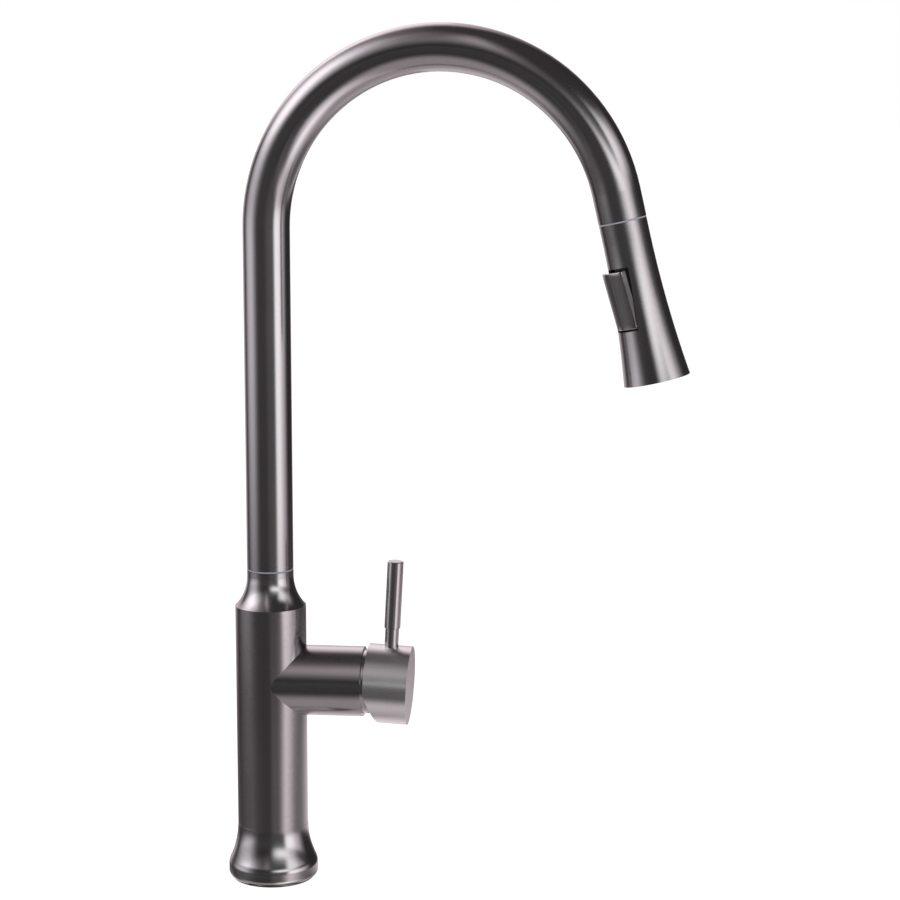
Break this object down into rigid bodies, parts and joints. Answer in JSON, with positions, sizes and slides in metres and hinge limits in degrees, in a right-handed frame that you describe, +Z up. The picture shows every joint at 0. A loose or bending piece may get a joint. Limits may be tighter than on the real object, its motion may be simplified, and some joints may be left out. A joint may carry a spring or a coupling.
{
  "type": "pull down kitchen faucet",
  "caption": "Tall gooseneck kitchen faucet with a swivelling spout, a side lever and a docking pull down spray head with a rocker button.",
  "frame": {"origin": "centre of the foot on the deck plane, on the axis of the mounting shank", "axes": "+Z up along the column, +X along the handle's side branch, -Y towards the front; the spout stands 6 degrees from +X towards the front"},
  "size_m": [0.2553, 0.0677, 0.5554],
  "materials": {
    "brushed_gunmetal": "brushed stainless steel with a dark gunmetal tint",
    "satin_steel": "satin steel with fine circular brushing",
    "polished_steel": "polished",
    "zinc_steel": "plain bright steel",
    "brass": "machined brass",
    "black_rubber": "matt black rubber",
    "white_plastic": "moulded acetal",
    "grey_plastic": "moulded grey plastic",
    "black_plastic": "moulded dark plastic",
    "dark_silicone": "soft dark silicone",
    "ceramic_white": "lapped alumina",
    "hose_braid": "braided nylon hose sleeve"
  },
  "bodies": {
    "column": {"base_gasket": "black_rubber", "foot_flange": "brushed_gunmetal", "column_body": "brushed_gunmetal", "neck_collar": "brushed_gunmetal", "mounting_shank": "brass", "valve_block": "brass", "swivel_bushings": "white_plastic", "riser_hose": "hose_braid", "riser_fitting": "brass", "cartridge_seals": "black_rubber", "cartridge_base": "white_plastic", "fixed_disc": "ceramic_white", "cartridge_housing": "white_plastic", "retaining_nut": "brass", "trim_dome": "polished_steel"},
    "clamp_set": {"rubber_washer": "black_rubber", "steel_washer": "zinc_steel", "mounting_nut": "brass", "clamp_screws": "zinc_steel"},
    "spout": {"spout_tube": "brushed_gunmetal", "spout_spigot": "brass", "slip_ring": "grey_plastic", "swivel_orings": "black_rubber", "swivel_clip": "zinc_steel", "dock_guide": "black_plastic", "dock_magnet": "zinc_steel", "spout_hose": "hose_braid"},
    "hose_end": {"hose_stub": "hose_braid", "hose_ferrule": "zinc_steel", "hose_nut": "brass", "hose_washer": "black_rubber"},
    "spray_head": {"head_shell": "brushed_gunmetal", "head_ring": "grey_plastic", "inlet_connector": "brass", "check_valve": "white_plastic", "waterway": "black_plastic", "button_pin": "zinc_steel", "aerator": "grey_plastic", "nozzle_mat": "dark_silicone", "face_plate": "black_plastic", "face_ring": "polished_steel"},
    "check_poppet": {"check_poppet": "black_rubber", "check_spring": "zinc_steel"},
    "spray_button": {"toggle_button": "brushed_gunmetal"},
    "diverter": {"diverter_spool": "white_plastic", "spool_seals": "black_rubber"},
    "temperature_rotor": {"cartridge_rotor": "white_plastic", "stem_pin": "zinc_steel"},
    "ceramic_slide": {"moving_disc": "ceramic_white", "disc_carrier": "white_plastic"},
    "lever": {"cartridge_stem": "brass", "handle_cap": "satin_steel", "grub_screw": "zinc_steel", "lever_stem": "brushed_gunmetal", "lever_rod": "brushed_gunmetal"}
  },
  "joints": [
    {"name": "clamp_travel", "type": "slide", "parent": "column", "child": "clamp_set", "axis": [0, 0, 1], "range_m": [-0.012, 0.027]},
    {"name": "spout_swivel", "type": "hinge", "parent": "column", "child": "spout", "pos_m": [0, 0, 0.175], "axis": [0, 0, 1], "continuous": true},
    {"name": "hose_pull", "type": "slide", "parent": "spout", "child": "hose_end", "axis": [0.2237, -0.0235, -0.9744], "range_m": [0, 0.28]},
    {"name": "head_turn", "type": "hinge", "parent": "hose_end", "child": "spray_head", "pos_m": [0.19107, -0.02008, 0.36799], "axis": [0.2237, -0.0235, -0.9744], "continuous": true},
    {"name": "button_rock", "type": "hinge", "parent": "spray_head", "child": "spray_button", "pos_m": [0.19332, -0.02743, 0.32353], "axis": [-0.6113, 0.7753, -0.1591], "range_deg": [0, 9]},
    {"name": "diverter_travel", "type": "slide", "parent": "spray_head", "child": "diverter", "axis": [-0.7591, -0.6312, -0.1591], "range_m": [0, 0.0015]},
    {"name": "check_lift", "type": "slide", "parent": "spray_head", "child": "check_poppet", "axis": [0.2237, -0.0235, -0.9744], "range_m": [0, 0.0012], "stiffness_N_per_m": 60, "springref_m": -0.002},
    {"name": "temperature_turn", "type": "hinge", "parent": "column", "child": "temperature_rotor", "pos_m": [0.04, 0, 0.1125], "axis": [1, 0, 0], "range_deg": [-45, 45]},
    {"name": "flow_tilt", "type": "hinge", "parent": "temperature_rotor", "child": "lever", "pos_m": [0.044, 0, 0.1125], "axis": [0, 1, 0], "range_deg": [-3, 18]},
    {"name": "ceramic_travel", "type": "slide", "parent": "temperature_rotor", "child": "ceramic_slide", "axis": [0, 0, 1], "range_m": [-0.00075, 0.0045]}
  ],
  "couplings": [
    {"joint": "diverter_travel", "follows": "button_rock", "m_per_rad": 0.009},
    {"joint": "ceramic_travel", "follows": "flow_tilt", "m_per_rad": 0.014}
  ]
}
